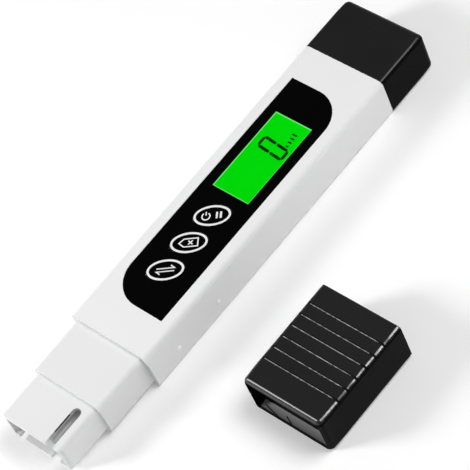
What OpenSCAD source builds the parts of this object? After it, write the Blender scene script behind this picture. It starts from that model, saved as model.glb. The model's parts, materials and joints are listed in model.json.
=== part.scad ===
// Pen-type water conductivity meter, lying on its back.
// The long axis is X: the probe end points to -X and the battery cap to +X.
// The front face looks up (+Z). The origin is the middle of the sleeve's back face.
// Inside the modules x = 0 is the shoulder, the sleeve's end next to the probe.

/* [Sleeve] */
// Wall of the white sleeve
sleeve_wall = 1.8; // [1.7:0.05:2.2]
// Radius of the sleeve's long edges
sleeve_r = 1.8; // [1.2:0.1:2.6]
// Plain length of the sleeve between its shoulder and the black film
panel_start = 12.95; // [11:0.05:16]
// Plain length of the sleeve between the film and the battery cap
panel_to_cap = 12.25; // [11:0.05:20]

/* [Probe end] */
// Length of the neck that the loose cap slides over
neck_l = 20.2; // [14:0.1:22]
// How far the neck lies inside the sleeve's front and back faces
neck_inset = 1.25; // [1.1:0.05:1.5]
// How far the neck lies inside the sleeve's sides
neck_side_inset = 1.9; // [1.4:0.05:2.2]
// Length of the slotted guard round the electrodes
guard_l = 17; // [13:0.1:20]
// How far the guard lies inside the neck's front and back faces
guard_inset = 0.9; // [0.4:0.05:1.2]
// How far the guard lies inside the neck's sides
guard_side_inset = 1.2; // [0.5:0.05:1.5]
// Wall of the guard
guard_wall = 1.5; // [1.2:0.1:1.8]
// Radius of the long edges of neck and guard
probe_r = 1.6; // [1:0.1:2.2]
// Radius of the guard's corners at the tip
tip_r = 2; // [0.8:0.1:3]
// Depth of the chamber from the tip
chamber_d = 15; // [12:0.1:15.5]
// Width of the slot in the front wall
front_slot_w = 3.3; // [2:0.1:3.6]
// Place of the front slot from the middle, towards one side
front_slot_y = 8.0; // [7:0.1:8.2]
// Solid length between the slots' inner ends and the chamber's end
slot_margin = 0.6; // [0.3:0.1:3]
// Width of the first slot in the back wall
back_slot_w = 2.8; // [2:0.1:3.2]
// Place of that slot from the middle
back_slot_y = 8.4; // [7:0.1:8.4]
// Width of the second slot in the back wall
back_notch_w = 3.8; // [2:0.1:4]
// Place of the second slot from the middle, towards the other side
back_notch_y = 6; // [5:0.1:7]
// Length of the plug that goes into the sleeve
plug_l = 8; // [6:0.1:9]
// Reach of the plug's two side arms past the plug
arm_l = 8; // [6:0.1:9]
// Wall of the plug and its arms
plug_wall = 1.2; // [1:0.05:1.3]

/* [Electrodes] */
// Radius of an electrode pin
pin_r = 1; // [0.7:0.05:1.2]
// Distance between the electrodes
pin_pitch = 9.2; // [8:0.1:10]
// How far the pins stay behind the guard's tip
pin_recess = 2.6; // [1:0.1:4]
// Radius of the temperature sensor's tube
thermo_r = 1.3; // [1:0.05:1.5]
// How far the temperature sensor stays behind the pins
thermo_recess = 1.6; // [0.5:0.1:4]
// Depth of the potting behind the chamber
potting_l = 4; // [2:0.1:8]

/* [Front panel] */
// White border between the film and the sleeve's long sides
panel_margin = 4.7; // [4:0.1:6]
// Radius of the film's two round corners
panel_r = 11.2; // [4:0.1:11.2]
// Thickness of the film
film_t = 0.4; // [0.3:0.05:0.5]
// How far the film lies below the sleeve's face
film_sink = 0.1; // [0.05:0.01:0.15]
// Film between its lower end and the lowest key
film_to_key = 9.7; // [6:0.1:14]
// Film between the top key and the display window
key_to_window = 3.95; // [3.4:0.05:8]
// Film between the window and its upper end
window_to_end = 12.6; // [10:0.1:20]

/* [Display] */
// Length of the display window
window_l = 31.9; // [24:0.1:40]
// Width of the display window
window_w = 15.2; // [12:0.1:16]
// Sideways place of the window's middle
window_y = 0.2; // [0:0.05:0.3]
// Thickness of the clear lens
lens_t = 0.8; // [0.6:0.05:0.9]
// Edge of the lens that lies under the film
lens_lip = 1.2; // [0.8:0.05:1.5]
// Thickness of the display glass
lcd_t = 2.2; // [1.6:0.1:2.8]
// Glass that reaches past each end of the window
lcd_end_edge = 2.05; // [1.6:0.05:2.5]
// Glass that reaches past each side of the window
lcd_side_edge = 2.5; // [2.4:0.05:2.8]
// Thickness of the light guide behind the glass
guide_t = 2.8; // [2:0.1:3.4]
// Width of a rubber contact strip
zebra_w = 1.4; // [1:0.05:1.5]
// Thickness of a backlight lamp
led_t = 1; // [0.7:0.05:1.05]
// Width of a backlight lamp
led_w = 3; // [2:0.1:4]
// Distance between the two lamps
led_pitch = 8; // [6:0.1:10]
// Wall of the holder round the display
bezel_wall = 1.2; // [0.8:0.05:1.3]
// Height of the holder's feet under the light guide
bezel_foot = 2; // [1.4:0.1:2.4]

/* [Keys] */
// Film between two keys, along the meter
key_between = 1.42; // [1:0.01:4]
// Half the length of a key's oval
key_a = 6.35; // [5.5:0.05:7]
// Half the width of a key's oval
key_b = 4.08; // [3.8:0.01:4.6]
// Angle of the oval's long axis
key_turn = 126; // [100:1:150]
// How far a key goes down
key_travel = 0.3; // [0.2:0.01:0.35]
// Radius of a key's stem
stem_r = 2.2; // [1.8:0.05:2.5]
// Radius of the collar that keeps a key in
collar_r = 3.2; // [2.9:0.05:3.8]
// Thickness of that collar
collar_t = 0.6; // [0.5:0.05:0.8]

/* [Board] */
// Thickness of the circuit board
board_t = 1.2; // [0.8:0.1:1.6]
// From the shoulder to the board's probe end
board_start = 3; // [2.6:0.1:5]
// Side of a key switch
switch_w = 6; // [5:0.1:7]
// Radius of a switch's plunger
plunger_r = 1.7; // [1.2:0.05:2]
// How far a plunger stands out of its switch
plunger_out = 0.8; // [0.6:0.05:1]
// Radius of a board screw's shank
screw_r = 0.8; // [0.6:0.05:0.95]
// Length of a board screw below the board
screw_bite = 2; // [1.4:0.1:2.4]
// Side of the controller chip
chip_w = 7; // [5:0.1:8]
// Thickness of the controller chip
chip_t = 1.4; // [1:0.1:1.8]
// Gap between the display holder and the chip's leads
chip_gap = 3.5; // [2:0.1:4]
// Radius of the timing crystal's can
can_r = 1; // [0.7:0.05:1.2]
// Length of the timing crystal's can
can_l = 6; // [4:0.1:7]
// Length of a small board component
part_l = 1.2; // [0.8:0.1:1.6]
// Width of a small board component
part_w = 2; // [1:0.1:2.4]
// Height of a small board component
part_t = 0.6; // [0.4:0.1:1]
// Gap between the parts on the board
part_gap = 1.8; // [1:0.1:2]

/* [Inner frame] */
// Wall of the frame that carries board and cells
frame_wall = 1.1; // [0.9:0.05:1.1]
// Height of the frame's sides above the board
side_rise = 1.5; // [0.5:0.1:3]
// Radius of the snap nubs seen in the sleeve's side
nub_r = 0.6; // [0.4:0.05:0.8]
// Height of the snap nubs above the back face
nub_z = 6.3; // [5:0.1:6.8]
// From the plug to the first pair of nubs
nub_in1 = 3.55; // [2:0.05:5]
// From the frame's probe end to the second pair of nubs
nub_in2 = 14.4; // [8:0.1:20]
// Height of the bosses under the board
boss_h = 2.8; // [2.7:0.1:4]
// Radius of a boss
boss_r = 2.1; // [1.8:0.1:2.4]
// Length of an opening in the frame's floor
floor_gap_l = 12; // [6:0.5:14]
// Distance from one floor opening to the next
floor_gap_pitch = 18; // [16:0.5:24]

/* [Battery end] */
// Length of the battery cap
cap_l = 21.3; // [20:0.05:24]
// Wall of the battery cap's closed end
cap_end = 1.6; // [1.2:0.1:2]
// Radius of the long edges of both black caps
cap_r = 1.6; // [1:0.1:2.4]
// Radius of the battery cap's corners at its end
cap_corner_r = 2; // [0.8:0.1:3]
// Diameter of a button cell
cell_d = 11.6; // [9.5:0.1:13]
// Thickness of a button cell
cell_t = 5.4; // [3.6:0.1:7]
// Gap between a cell and its stops
cell_gap = 0.4; // [0.3:0.05:0.6]
// Thickness of the frame's rib between the two cells
divider_t = 1.6; // [1:0.1:2]
// Thickness of a contact strip
strip_t = 0.3; // [0.2:0.05:0.4]
// Width of a contact strip
strip_w = 4; // [2:0.1:6]
// Free end of the frame inside the battery cap
bay_end_gap = 1.3; // [0.5:0.1:2]
// Radius of the finger notch in the frame's end
notch_r = 4.5; // [3:0.1:5]
// Width of the cap's ribs that hold the cells in
rib_w = 2; // [1:0.1:3]

/* [Probe cap] */
// Wall of the loose cap's closed end
probe_cap_end = 1.4; // [1:0.1:2.4]
// Number of grip grooves
groove_n = 6; // [3:1:7]
// Distance between the grooves
groove_pitch = 4.35; // [3:0.05:4.5]
// From the closed end to the first groove
groove_start = 7.4; // [4:0.1:8]
// Width of a groove
groove_w = 0.5; // [0.3:0.05:1]
// Depth of a groove
groove_d = 0.35; // [0.2:0.05:0.5]
// Where the loose cap lies: its mouth from the shoulder
loose_x = 10; // [-20:0.5:40]
// Where the loose cap lies: its middle from the meter's middle
loose_y = 61.5; // [40:0.5:90]

/* [Fits] */
// Clearance of a piece that slides into another
fit_gap = 0.15; // [0.1:0.01:0.2]
// Clearance round a pin or screw that is pressed or potted in
seat_gap = 0.05; // [0.03:0.01:0.08]
// Seam between the sleeve and the battery cap
seam = 0.1; // [0.05:0.01:0.3]

/* [Hidden] */
$fn = 48;
// Cuts run this far past the faces that they open
over = 1;

// Widths, from the widest of what the sleeve holds
guide_w = window_w + 0.4;
zebra_y = guide_w / 2 + fit_gap;
lcd_w = window_w + 2 * lcd_side_edge;
bezel_l = window_l + 2 * (lcd_end_edge + fit_gap + bezel_wall);
bezel_w = lcd_w + 2 * (fit_gap + bezel_wall);
held_w = max(2 * (cell_d + cell_gap) + divider_t, bezel_w + 2 * window_y);
frame_w = held_w + 2 * (fit_gap + frame_wall);
sleeve_w = frame_w + 2 * (fit_gap + sleeve_wall);
panel_w = sleeve_w - 2 * panel_margin;

// Heights, from the back face up to the front face
frame_z0 = sleeve_wall + fit_gap;
frame_floor_z = frame_z0 + frame_wall;
board_z0 = frame_floor_z + boss_h;
board_z1 = board_z0 + board_t;
guide_z0 = board_z1 + bezel_foot;
lcd_z0 = guide_z0 + guide_t;
lcd_z1 = lcd_z0 + lcd_t;
inner_front_z = lcd_z1 + fit_gap;
sleeve_t = inner_front_z + sleeve_wall;
mid_z = sleeve_t / 2;
frame_t = sleeve_t - 2 * frame_z0;
film_seat_z = sleeve_t - film_sink - film_t;
collar_z1 = inner_front_z - fit_gap;
collar_z0 = collar_z1 - collar_t;
stem_end_z = collar_z0 - key_travel - fit_gap;
switch_z1 = stem_end_z - plunger_out;
well_d = 2 * plunger_out;

// Places along the sleeve, from the shoulder up
key_half = sqrt(pow(key_a * cos(key_turn), 2) + pow(key_b * sin(key_turn), 2));
key_start = panel_start + film_to_key + key_half;
key_pitch = 2 * key_half + key_between;
window_start = key_start + 2 * key_pitch + key_half + key_to_window;
window_x = window_start + window_l / 2;
panel_end = window_start + window_l + window_to_end;
panel_l = panel_end - panel_start;
sleeve_l = panel_end + panel_to_cap;
lcd_l = window_l + 2 * lcd_end_edge;
guide_x0 = window_start - 1;
guide_l = window_l + 1.9;
zebra_l = window_l - 2.9;

// The frame's section, shared by the plug, the battery bay and the battery cap's hollow
inner_r = max(sleeve_r - sleeve_wall, 0.5);
cavity_w = frame_w - 2 * plug_wall;
cavity_t = frame_t - 2 * plug_wall;
board_w = frame_w - 2 * max(frame_wall, plug_wall) - 2 * fit_gap;

// Places along the probe end
neck_w = sleeve_w - 2 * neck_side_inset;
neck_t = sleeve_t - 2 * neck_inset;
guard_w = neck_w - 2 * guard_side_inset;
guard_t = neck_t - 2 * guard_inset;
tip_x = -neck_l - guard_l;
chamber_x = tip_x + chamber_d;
slot_l = chamber_d - slot_margin;
partition_t = 2.4;
potting_x = chamber_x + partition_t;
pin_end_x = board_start - 2;
nub_x1 = plug_l + nub_in1;
frame_x0 = plug_l + arm_l + fit_gap;
nub_x2 = frame_x0 + nub_in2;

// Places in the battery end
bay_x0 = sleeve_l - frame_wall;
bay_in_x0 = bay_x0 + frame_wall;
cap_x0 = sleeve_l + seam;
cap_x1 = cap_x0 + cap_l;
cap_in_x1 = cap_x1 - cap_end;
bay_x1 = cap_in_x1 - bay_end_gap;
board_end = bay_x0 - 0.8;
cell_x = bay_in_x0 + cell_gap + cell_d / 2;
cell_y = cell_gap + (cell_d + divider_t) / 2;
cell_z0 = frame_floor_z + strip_t;
dimple_h = strip_t;
dimple_r = cell_d / 8;
strip_z = cell_z0 + cell_t + dimple_h;
bay_roof_z = strip_z + strip_t + fit_gap;

// Parts on the board beyond the display
lead_out = 0.9;
chip_x = window_x + bezel_l / 2 + chip_gap + lead_out + chip_w / 2;
part_pitch = part_l + 1.4;

// Screws near the board's corners
head_r = 1.9 * screw_r;
head_t = 1.1 * screw_r;
screw_xs = [frame_x0 + 1.7 * boss_r, bay_x0 - 2.5 * boss_r];
screw_y = board_w / 2 - 0.8 * boss_r;

// The loose cap's hollow takes the whole probe end, and its wall fills the step to the sleeve
probe_cap_w = neck_w + 2 * neck_inset;
probe_cap_in = neck_l + guard_l + 0.2;
probe_cap_l = probe_cap_in + probe_cap_end;

// Rounded rectangle about the origin
module round_rect(w, h, r) {
    square([w - 2 * r, h], center = true);
    square([w, h - 2 * r], center = true);
    for (x = [-1, 1], y = [-1, 1])
        translate([x * (w / 2 - r), y * (h / 2 - r)]) circle(r);
}

// A flat outline in Y and Z, drawn out along X from x0
module along_x(x0, l) {
    translate([x0, 0, 0]) rotate([90, 0, 90]) linear_extrude(l) children();
}

// A flat outline in X and Z, drawn out along Y about y
module along_y(y, l) {
    translate([0, y + l / 2, 0]) rotate([90, 0, 0]) linear_extrude(l) children();
}

// Rounded section of the meter, centred on its thickness
module section(w, t, r) {
    translate([0, mid_z]) round_rect(w, t, r);
}

// Block between two corners
module block(x0, x1, y0, y1, z0, z1) {
    translate([x0, y0, z0]) cube([x1 - x0, y1 - y0, z1 - z0]);
}

// Moves a module from the shoulder's frame to the part's own frame
module placed() {
    translate([-sleeve_l / 2, 0, 0]) children();
}

// Oval made of points on an ellipse
module oval(a, b) {
    n = 64;
    polygon([for (i = [0:n - 1]) [a * cos(360 * i / n), b * sin(360 * i / n)]]);
}

// Leaf outline: two opposite corners round, the other two sharp
module leaf(l, w, r) {
    difference() {
        square([l, w], center = true);
        for (turn = [0, 180])
            rotate(turn) translate([l / 2 - r, r - w / 2]) difference() {
                translate([0, -r - over]) square([r + over, r + over]);
                circle(r, $fn = 96);
            }
    }
}

// The film's outline, made larger or smaller by grow
module panel_outline(grow) {
    translate([panel_start + panel_l / 2, 0])
        leaf(panel_l + 2 * grow, panel_w + 2 * grow, min(panel_r, panel_w / 2 - 0.05) + grow);
}

// Rectangle of the display, made larger by grow
module window_outline(grow) {
    translate([window_x, window_y])
        square([window_l + 2 * grow, window_w + 2 * grow], center = true);
}

// The middle of key i, counted from the probe end
function key_x(i) = key_start + i * key_pitch;

// Outline of key i, made larger by grow
module key_outline(i, grow) {
    translate([key_x(i), 0]) rotate(key_turn) oval(key_a + grow, key_b + grow);
}

// Snap nub or its hole, through both side walls
module nub_pair(x, r, y0, y1) {
    for (s = [-1, 1])
        along_y(s * (y0 + y1) / 2, y1 - y0) translate([x, nub_z]) circle(r);
}

// White one-piece tube with the film's seat, the window, key holes and snap holes
module body_sleeve() {
    color("white") placed() difference() {
        along_x(0, sleeve_l) section(sleeve_w, sleeve_t, sleeve_r);
        along_x(-over, sleeve_l + 2 * over)
            section(sleeve_w - 2 * sleeve_wall, sleeve_t - 2 * sleeve_wall, inner_r);
        translate([0, 0, film_seat_z]) linear_extrude(film_t + film_sink + over)
            panel_outline(seat_gap);
        translate([0, 0, film_seat_z - lens_t]) linear_extrude(lens_t + over)
            window_outline(lens_lip + seat_gap);
        translate([0, 0, inner_front_z - over]) linear_extrude(sleeve_wall + over)
            window_outline(0);
        for (i = [0:2]) {
            translate([0, 0, film_seat_z - key_travel - fit_gap]) linear_extrude(over)
                key_outline(i, fit_gap);
            translate([key_x(i), 0, inner_front_z - over])
                cylinder(sleeve_wall + over, r = stem_r + fit_gap);
        }
        for (x = [nub_x1, nub_x2])
            nub_pair(x, nub_r + seat_gap, sleeve_w / 2 - sleeve_wall - over, sleeve_w / 2 + over);
    }
}

// Black film, bonded into its seat, open over the display and the keys
module graphic_overlay() {
    color([0.05, 0.05, 0.06]) placed() translate([0, 0, film_seat_z]) linear_extrude(film_t)
        difference() {
            panel_outline(0);
            window_outline(0);
            for (i = [0:2]) key_outline(i, fit_gap);
        }
}

// Clear lens; its edge lies in the sleeve's step, under the film
module display_window() {
    color([0.8, 0.9, 0.85, 0.4]) placed() translate([0, 0, film_seat_z - lens_t])
        linear_extrude(lens_t) window_outline(lens_lip);
}

// Box on the display's middle line, l by w, between two heights
module display_block(l, w, z0, z1) {
    block(window_x - l / 2, window_x + l / 2, window_y - w / 2, window_y + w / 2, z0, z1);
}

// Display glass: two plates, the front one shorter so that the contact edge is bare
module lcd_glass() {
    color([0.1, 0.8, 0.15]) placed() {
        display_block(lcd_l, lcd_w, lcd_z0, (lcd_z0 + lcd_z1) / 2);
        display_block(lcd_l, lcd_w - 1.2 * zebra_w, (lcd_z0 + lcd_z1) / 2, lcd_z1);
    }
}

// Light guide behind the glass
module backlight_guide() {
    color([0.9, 0.95, 0.9]) placed()
        block(guide_x0, guide_x0 + guide_l, window_y - guide_w / 2, window_y + guide_w / 2,
            guide_z0, lcd_z0);
}

// Two lamps that shine into the end of the light guide
module backlight_leds() {
    color([0.95, 0.9, 0.6]) placed() for (s = [-1, 1])
        translate([guide_x0 + guide_l + seat_gap, window_y + (s * led_pitch - led_w) / 2, board_z1])
            cube([led_t, led_w, lcd_z0 - board_z1 - fit_gap]);
}

// Rubber contact strips between the board and the glass
module zebra_strips() {
    color([0.85, 0.5, 0.6]) placed() for (s = [-1, 1])
        translate([window_x, window_y + s * (zebra_y + zebra_w / 2), board_z1])
            translate([-zebra_l / 2, -zebra_w / 2, 0]) cube([zebra_l, zebra_w, lcd_z0 - board_z1]);
}

// Holder that stands on the board round glass, guide and strips
module lcd_bezel() {
    pocket_l = lcd_l + 2 * fit_gap;
    pocket_w = lcd_w + 2 * fit_gap;
    well_w = 2 * (zebra_y + zebra_w + fit_gap);
    color([0.9, 0.9, 0.88]) placed() {
        difference() {
            display_block(bezel_l, bezel_w, board_z1, lcd_z1);
            display_block(pocket_l, pocket_w, lcd_z0, lcd_z1 + over);
            block(guide_x0 - seat_gap, window_x + pocket_l / 2, window_y - well_w / 2,
                window_y + well_w / 2, board_z1 - over, lcd_z0 + over);
        }
        for (s = [-1, 1])
            translate([window_x + s * (zebra_l + bezel_wall + fit_gap) / 2, window_y, 0])
                translate([0, 0, board_z1 + bezel_foot / 2])
                    cube([bezel_wall - fit_gap, well_w, bezel_foot], center = true);
    }
}

// Board that runs from the probe's plug to the battery bay
module circuit_board() {
    color([0.1, 0.4, 0.2]) placed() difference() {
        block(board_start, board_end, -board_w / 2, board_w / 2, board_z0, board_z1);
        for (x = screw_xs, s = [-1, 1])
            translate([x, s * screw_y, board_z0 - over])
                cylinder(board_t + 2 * over, r = screw_r + fit_gap);
    }
}

// Controller with a row of leads on each side
module controller_chip() {
    lead_n = 7;
    lead_pitch = chip_w / (lead_n + 1.7);
    lead_w = 0.35 * lead_pitch;
    foot_h = 0.1 * chip_t;
    color([0.12, 0.12, 0.13]) placed() translate([chip_x, 0, board_z1]) {
        translate([-chip_w / 2, -chip_w / 2, foot_h]) cube([chip_w, chip_w, chip_t]);
        for (turn = [0:90:270], i = [0:lead_n - 1])
            rotate(turn) translate([(i - (lead_n - 1) / 2) * lead_pitch - lead_w / 2, 0.4 * chip_w, 0])
                cube([lead_w, 0.1 * chip_w + lead_out, 3 * foot_h]);
    }
}

// Timing crystal in its round can, lying beside the chip
module crystal() {
    color([0.75, 0.75, 0.78]) placed() along_x(chip_x - can_l / 2, can_l)
        translate([chip_w / 2 + lead_out + part_gap + can_r, board_z1 + can_r]) circle(can_r);
}

// One small resistor or capacitor
module small_part(x, y) {
    translate([x - part_l / 2, y - part_w / 2, board_z1]) cube([part_l, part_w, part_t]);
}

// Small resistors and capacitors in rows
module board_components() {
    color([0.55, 0.45, 0.35]) placed() {
        for (i = [-2:2])
            small_part(chip_x + i * part_pitch, -chip_w / 2 - lead_out - part_gap - part_w / 2);
        for (i = [0:3])
            small_part(board_start + plug_l + i * part_pitch, 0);
    }
}

// Four screws that hold the board on the frame's bosses
module board_screws() {
    color([0.7, 0.7, 0.72]) placed() for (x = screw_xs, s = [-1, 1])
        translate([x, s * screw_y, 0]) {
            translate([0, 0, board_z0 - screw_bite]) cylinder(screw_bite + board_t, r = screw_r);
            translate([0, 0, board_z1]) cylinder(head_t, r = head_r);
        }
}

// Three key switches: square bodies with a well for the plunger
module tact_switches() {
    well_z = switch_z1 - well_d;
    color([0.2, 0.2, 0.21]) placed() for (i = [0:2])
        translate([key_x(i), 0, 0]) difference() {
            translate([-switch_w / 2, -switch_w / 2, board_z1])
                cube([switch_w, switch_w, switch_z1 - board_z1]);
            translate([0, 0, well_z]) cylinder(well_d + over, r = plunger_r + seat_gap);
        }
}

// Plunger of switch i, pushed down by the key above it
module plunger(i) {
    in_well = well_d - key_travel - fit_gap;
    color([0.9, 0.9, 0.9]) placed() translate([key_x(i), 0, switch_z1 - in_well])
        cylinder(plunger_out + in_well, r = plunger_r);
}
module mode_plunger() plunger(0);
module clear_plunger() plunger(1);
module power_plunger() plunger(2);

// Key i: oval pad in the film's plane, stem through the wall, collar that keeps it in
module key(i) {
    color([0.05, 0.05, 0.06]) placed() {
        translate([0, 0, film_seat_z]) linear_extrude(film_t) key_outline(i, 0);
        translate([key_x(i), 0, stem_end_z]) cylinder(film_seat_z - stem_end_z, r = stem_r);
        translate([key_x(i), 0, collar_z0]) cylinder(collar_t, r = collar_r);
    }
}
module mode_key() key(0);
module clear_key() key(1);
module power_key() key(2);

// White frame: open tray under the board, then the bay with a rib between the cells
module inner_frame() {
    half_in = frame_w / 2 - frame_wall;
    pocket_w = half_in - divider_t / 2;
    side_z = board_z1 + side_rise;
    color("white") placed() {
        difference() {
            along_x(frame_x0, bay_x1 - frame_x0) section(frame_w, frame_t, inner_r);
            block(frame_x0 - over, bay_x0, -half_in, half_in, frame_floor_z, sleeve_t);
            block(frame_x0 - over, bay_x0, -sleeve_w, sleeve_w, side_z, sleeve_t);
            block(bay_in_x0, bay_x1 + over, -half_in, half_in, frame_floor_z, cell_z0 + strip_t);
            for (s = [-1, 1]) {
                translate([0, s * (half_in + divider_t / 2) / 2, 0]) {
                    block(bay_in_x0, bay_x1 + over, -pocket_w / 2, pocket_w / 2, frame_floor_z,
                        bay_roof_z);
                    block(bay_in_x0, bay_x1 - frame_wall, -pocket_w / 2, pocket_w / 2,
                        bay_roof_z + frame_wall, sleeve_t);
                }
                block(bay_x0 - over, bay_in_x0 + over, s * cell_y - strip_w / 2 - fit_gap,
                    s * cell_y + strip_w / 2 + fit_gap, strip_z - fit_gap, bay_roof_z);
            }
            for (x = [frame_x0 + floor_gap_pitch : floor_gap_pitch : bay_x0 - floor_gap_pitch / 2])
                translate([x - floor_gap_pitch / 4, 0, 0]) linear_extrude(frame_floor_z + over)
                    round_rect(floor_gap_l, frame_w / 2, boss_r);
            translate([bay_x1, 0, 0]) cylinder(sleeve_t, r = notch_r);
            for (x = screw_xs, s = [-1, 1])
                translate([x, s * screw_y, board_z0]) cylinder(over, r = boss_r);
        }
        for (x = screw_xs, s = [-1, 1])
            translate([x, s * screw_y, frame_z0]) difference() {
                cylinder(board_z0 - frame_z0, r = boss_r);
                translate([0, 0, board_z0 - frame_z0 - screw_bite - fit_gap])
                    cylinder(screw_bite + fit_gap + over, r = screw_r + seat_gap / 2);
            }
        nub_pair(nub_x2, nub_r, frame_w / 2 - 0.4, sleeve_w / 2 - 0.05);
    }
}

// Open-ended slot in the guard's front or back wall, round at its inner end
module guard_slot(y, w) {
    translate([tip_x - over, y - w / 2]) square([slot_l - w / 2 + over, w]);
    translate([tip_x + slot_l - w / 2, y]) circle(w / 2);
}

// White probe end: slotted guard, neck, plug and the arms with the first nubs
module probe_base() {
    arm_z = 0.2 * frame_t;
    color("white") placed() {
        difference() {
            union() {
                along_x(-neck_l, neck_l) section(neck_w, neck_t, probe_r);
                intersection() {
                    along_x(tip_x, guard_l + over) section(guard_w, guard_t, probe_r);
                    linear_extrude(sleeve_t) translate([tip_x + guard_l, 0])
                        round_rect(2 * guard_l, guard_w, tip_r);
                }
                along_x(0, plug_l + arm_l) section(frame_w, frame_t, inner_r);
            }
            along_x(potting_x, plug_l + arm_l + over - potting_x) section(cavity_w, cavity_t, inner_r);
            along_x(tip_x - over, chamber_d + over)
                section(guard_w - 2 * guard_wall, guard_t - 2 * guard_wall, 0.8);
            translate([0, 0, mid_z]) linear_extrude(sleeve_t) guard_slot(-front_slot_y, front_slot_w);
            linear_extrude(mid_z) {
                guard_slot(back_slot_y, back_slot_w);
                guard_slot(-back_notch_y, back_notch_w);
            }
            for (s = [-1, 1])
                along_x(chamber_x - over, partition_t + 2 * over)
                    translate([s * pin_pitch / 2, mid_z]) circle(pin_r + seat_gap);
            along_x(chamber_x - over, partition_t + 2 * over)
                translate([0, mid_z]) circle(thermo_r + seat_gap);
            for (z = [frame_z0 + arm_z - sleeve_t, sleeve_t - frame_z0 - arm_z])
                block(plug_l, plug_l + arm_l + over, -sleeve_w, sleeve_w, z, z + sleeve_t);
        }
        nub_pair(nub_x1, nub_r, frame_w / 2 - 0.4, sleeve_w / 2 - 0.05);
    }
}

// Round pin along X with a domed tip
module round_pin(x0, x1, y, r) {
    translate([x0, y, mid_z]) rotate([0, 90, 0]) rotate_extrude() intersection() {
        union() {
            translate([0, r]) circle(r);
            translate([0, r]) square([r, x1 - x0 - r]);
        }
        square([r, x1 - x0]);
    }
}

// Two metal electrodes
module electrodes() {
    color([0.75, 0.74, 0.7]) placed() for (s = [-1, 1])
        round_pin(tip_x + pin_recess, pin_end_x, s * pin_pitch / 2, pin_r);
}

// Temperature sensor in its tube, between the electrodes
module temperature_sensor() {
    color([0.8, 0.8, 0.82]) placed()
        round_pin(tip_x + pin_recess + thermo_recess, pin_end_x, 0, thermo_r);
}

// Potting behind the chamber, cast round the three pins
module probe_potting() {
    color([0.2, 0.2, 0.22]) placed() difference() {
        along_x(potting_x, potting_l)
            section(cavity_w - 2 * seat_gap, cavity_t - 2 * seat_gap, inner_r);
        for (pin = [[-pin_pitch / 2, pin_r], [0, thermo_r], [pin_pitch / 2, pin_r]])
            along_x(potting_x - over, potting_l + 2 * over)
                translate([pin[0], mid_z]) circle(pin[1] + seat_gap);
    }
}

// Bent strip: runs at height za, steps up or down at xr, goes on at height zb
module bent_strip(xa, za, xr, xb, zb, t) {
    translate([xa, za]) square([xr + t - xa, t]);
    translate([xr, min(za, zb)]) square([t, abs(zb - za) + t]);
    translate([xr, zb]) square([xb - xr, t]);
}

// Leads from the pins' inner ends to the board
module sensor_leads() {
    lead_t = 0.4 * pin_r;
    color([0.8, 0.6, 0.3]) placed() for (y = [-pin_pitch / 2, 0, pin_pitch / 2])
        along_y(y, 2 * lead_t) bent_strip(pin_end_x, mid_z - lead_t / 2, board_start - 2 * lead_t,
            board_start + 2.4 * pin_r, board_z1, lead_t);
}

// Button cell; the small face is the negative one
module cell_shape() {
    step = 0.06 * cell_t;
    rotate_extrude() {
        square([0.42 * cell_d, cell_t]);
        translate([0, step]) square([cell_d / 2, cell_t - step]);
    }
}
module left_cell() {
    color([0.78, 0.78, 0.8]) placed() translate([cell_x, cell_y, cell_z0]) cell_shape();
}
module right_cell() {
    color([0.78, 0.78, 0.8]) placed() translate([cell_x, -cell_y, cell_z0 + cell_t])
        mirror([0, 0, 1]) cell_shape();
}

// Spring strip from the board to the top of a cell
module top_contact(y) {
    color([0.8, 0.7, 0.45]) placed() {
        along_y(y, strip_w)
            bent_strip(board_end - strip_w, board_z1, board_end + fit_gap, cell_x + 2 * dimple_r,
                strip_z, strip_t);
        translate([cell_x, y, strip_z - dimple_h]) cylinder(dimple_h, r = dimple_r);
    }
}
module positive_contact() top_contact(cell_y);
module negative_contact() top_contact(-cell_y);

// Strip on the bay's floor that joins the two cells
module bridge_contact() {
    color([0.8, 0.7, 0.45]) placed() translate([cell_x, 0, frame_floor_z]) linear_extrude(strip_t)
        round_rect(2 * strip_w, 2 * cell_y + cell_d / 2, dimple_r);
}

// Black cap flush with the sleeve; two ribs inside keep the cells in
module battery_cap() {
    color([0.1, 0.1, 0.11]) placed() {
        difference() {
            intersection() {
                along_x(cap_x0, cap_l) section(sleeve_w, sleeve_t, cap_r);
                linear_extrude(sleeve_t) translate([cap_x1 - cap_l, 0])
                    round_rect(2 * cap_l, sleeve_w, cap_corner_r);
            }
            along_x(cap_x0 - over, cap_in_x1 - cap_x0 + over)
                section(frame_w + 2 * fit_gap, frame_t + 2 * fit_gap, inner_r);
        }
        for (s = [-1, 1])
            block(cell_x + cell_d / 2 + cell_gap, cap_in_x1 + cap_end / 2, s * cell_y - rib_w / 2,
                s * cell_y + rib_w / 2, cell_z0 + 0.1 * cell_t, cell_z0 + 0.8 * cell_t);
    }
}

// Hollow black cap for the probe end, lying loose beside the meter
module probe_cap() {
    color([0.1, 0.1, 0.11]) placed() translate([loose_x, -loose_y, 0]) difference() {
        along_x(0, probe_cap_l) section(probe_cap_w, sleeve_t, cap_r);
        along_x(-over, probe_cap_in + over)
            section(neck_w + 2 * fit_gap, neck_t + 2 * fit_gap, max(probe_r - fit_gap, 0.5));
        for (i = [0:groove_n - 1], z = [-over, sleeve_t - groove_d])
            block(probe_cap_l - groove_start - i * groove_pitch - groove_w / 2,
                probe_cap_l - groove_start - i * groove_pitch + groove_w / 2,
                -sleeve_w, sleeve_w, z, z + over + groove_d);
    }
}

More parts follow.
